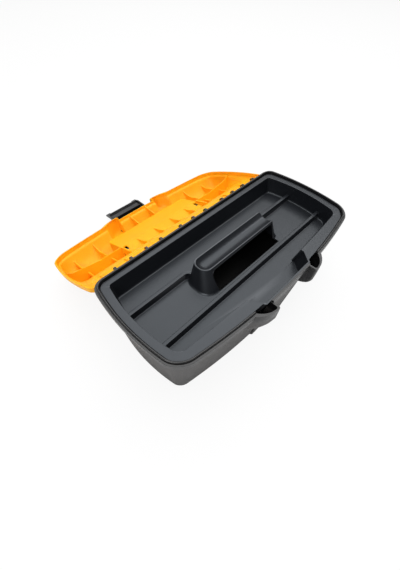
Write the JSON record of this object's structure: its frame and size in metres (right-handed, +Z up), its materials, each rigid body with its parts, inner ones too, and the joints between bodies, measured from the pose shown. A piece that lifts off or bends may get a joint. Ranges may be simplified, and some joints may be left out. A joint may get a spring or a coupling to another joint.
{
  "type": "hinged tool case with lift-out tray",
  "caption": "Open moulded plastic tool case: bowed dark tub, yellow lid on rod hinges, lift-out tray with handle, front latch and folding carry handle.",
  "frame": {"origin": "centre of the tub's base, on the floor that the case stands on", "axes": "+Z up, +Y from the latch side towards the hinge side, +X along the case to the right of someone who faces the latch"},
  "size_m": [0.32, 0.3434, 0.0973],
  "materials": {
    "tub_plastic": "fine moulded texture, dark warm grey",
    "tray_plastic": "satin, dark grey",
    "lid_plastic": "smooth semi-gloss yellow-orange",
    "black_plastic": "satin black"
  },
  "bodies": {
    "tub_body": {"tub": "tub_plastic"},
    "tray_body": {"tote_tray": "tray_plastic"},
    "lid_body": {"lid": "lid_plastic"},
    "latch_body": {"latch": "black_plastic"},
    "carry_handle_body": {"carry_handle": "black_plastic"}
  },
  "joints": [
    {"name": "lid_hinge", "type": "hinge", "parent": "tub_body", "child": "lid_body", "pos_m": [0, 0.07325, 0.0898], "axis": [1, 0, 0], "range_deg": [0, 202.4]},
    {"name": "latch_pivot", "type": "hinge", "parent": "lid_body", "child": "latch_body", "pos_m": [0, 0.20255, 0.00698], "axis": [1, 0, 0], "range_deg": [-40, 67]},
    {"name": "handle_pivot", "type": "hinge", "parent": "lid_body", "child": "carry_handle_body", "pos_m": [0, 0.1354, 0.03195], "axis": [-1, 0, 0], "range_deg": [0, 90]},
    {"name": "tray_lift", "type": "slide", "parent": "tub_body", "child": "tray_body", "axis": [0, 0, 1], "range_m": [0, 0.13]}
  ]
}
